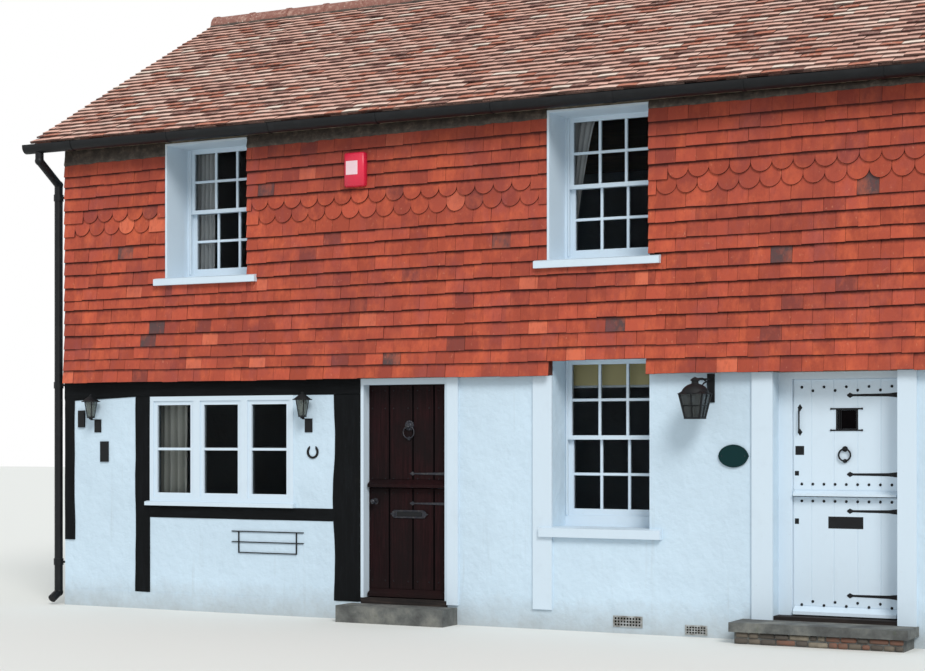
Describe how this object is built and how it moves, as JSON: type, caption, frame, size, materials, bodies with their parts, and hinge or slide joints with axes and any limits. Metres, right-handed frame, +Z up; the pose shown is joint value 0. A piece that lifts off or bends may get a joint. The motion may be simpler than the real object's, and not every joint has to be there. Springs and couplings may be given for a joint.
{
  "type": "half timbered house",
  "caption": "Two storey cottage in a row: rendered and timber framed ground storey, tile hung upper storey, plain tiled roof, sash and casement windows and stable doors that open.",
  "frame": {"origin": "middle of the house's plan, on the underside of the ground floor", "axes": "+X along the street front towards its right party wall, +Y from the street front to the rear, +Z up"},
  "size_m": [9.48, 6.0915, 5.9617],
  "materials": {
    "white_render": "limewashed render, matt",
    "inner_plaster": "plain plaster, matt",
    "black_timber": "tarred oak, satin",
    "white_joinery": "white gloss paint",
    "dark_joinery": "dark stained boards, satin",
    "hung_tile": "red clay tile, matt",
    "roof_tile": "weathered clay tile with lichen",
    "lime_mortar": "lime mortar, rough",
    "roof_timber": "sawn timber",
    "black_gutter": "black paint, satin",
    "clear_glass": "old window glass",
    "black_iron": "black paint, satin",
    "dull_brass": "tarnished dark",
    "floor_stone": "worn stone",
    "green_enamel": "dark green enamel",
    "red_plastic": "red plastic, gloss",
    "clay_vent": "limewashed clay"
  },
  "bodies": {
    "house": {"ground_floor": "floor_stone", "upper_floor": "roof_timber", "left_party_wall": "white_render", "right_party_wall": "white_render", "front_wall_middle": "white_render", "front_wall_right": "white_render", "front_wall_upper": "inner_plaster", "door_lintels": "roof_timber", "infill_panels": "white_render", "plinth": "white_render", "frame_posts": "black_timber", "door_post": "black_timber", "bressumer_beam": "black_timber", "sill_rail": "black_timber", "white_posts": "white_joinery", "rear_wall_ground": "white_render", "rear_wall_upper": "inner_plaster", "tile_hanging_front": "hung_tile", "tile_hanging_rear": "hung_tile", "eaves_mortar": "lime_mortar", "roof_front": "roof_timber", "roof_rear": "roof_timber", "roof_tiles_front": "roof_tile", "roof_tiles_rear": "roof_tile", "ridge_tiles": "roof_tile", "eaves_boards": "black_gutter", "gutter_front": "black_gutter", "gutter_rear": "black_gutter", "downpipe": "black_gutter", "window_frames": "white_joinery", "window_sashes": "white_joinery", "window_glass": "clear_glass", "window_sills": "white_joinery", "casement_frame": "white_joinery", "casement_lights": "white_joinery", "dark_door_frame": "white_joinery", "white_door_frame": "white_joinery", "thresholds": "floor_stone", "door_steps": "floor_stone", "coach_lanterns": "black_iron", "bracket_lantern": "black_iron", "lantern_glass": "clear_glass", "wall_iron": "black_iron", "oval_plaque": "green_enamel", "alarm_box": "red_plastic", "air_bricks": "clay_vent"},
    "dark_lower_leaf": {"dark_door_lower": "dark_joinery", "dark_door_knob_plate": "dull_brass"},
    "dark_upper_leaf": {"dark_door_upper": "dark_joinery", "dark_door_knocker": "dull_brass"},
    "white_lower_leaf": {"white_door_lower": "white_joinery", "white_lower_iron": "black_iron"},
    "white_upper_leaf": {"white_door_upper": "white_joinery", "white_upper_iron": "black_iron", "white_door_knocker": "black_iron", "white_pull_handle": "black_iron"}
  },
  "joints": [
    {"name": "dark_lower_hinge", "type": "hinge", "parent": "house", "child": "dark_lower_leaf", "pos_m": [-0.531, -2.5675, 0.9], "axis": [0, 0, -1], "range_deg": [0, 90]},
    {"name": "dark_upper_hinge", "type": "hinge", "parent": "house", "child": "dark_upper_leaf", "pos_m": [-0.531, -2.5675, 1.55], "axis": [0, 0, -1], "range_deg": [0, 90]},
    {"name": "white_lower_hinge", "type": "hinge", "parent": "house", "child": "white_lower_leaf", "pos_m": [3.197, -2.5075, 0.9], "axis": [0, 0, -1], "range_deg": [0, 90]},
    {"name": "white_upper_hinge", "type": "hinge", "parent": "house", "child": "white_upper_leaf", "pos_m": [3.197, -2.5075, 1.55], "axis": [0, 0, -1], "range_deg": [0, 90]}
  ]
}
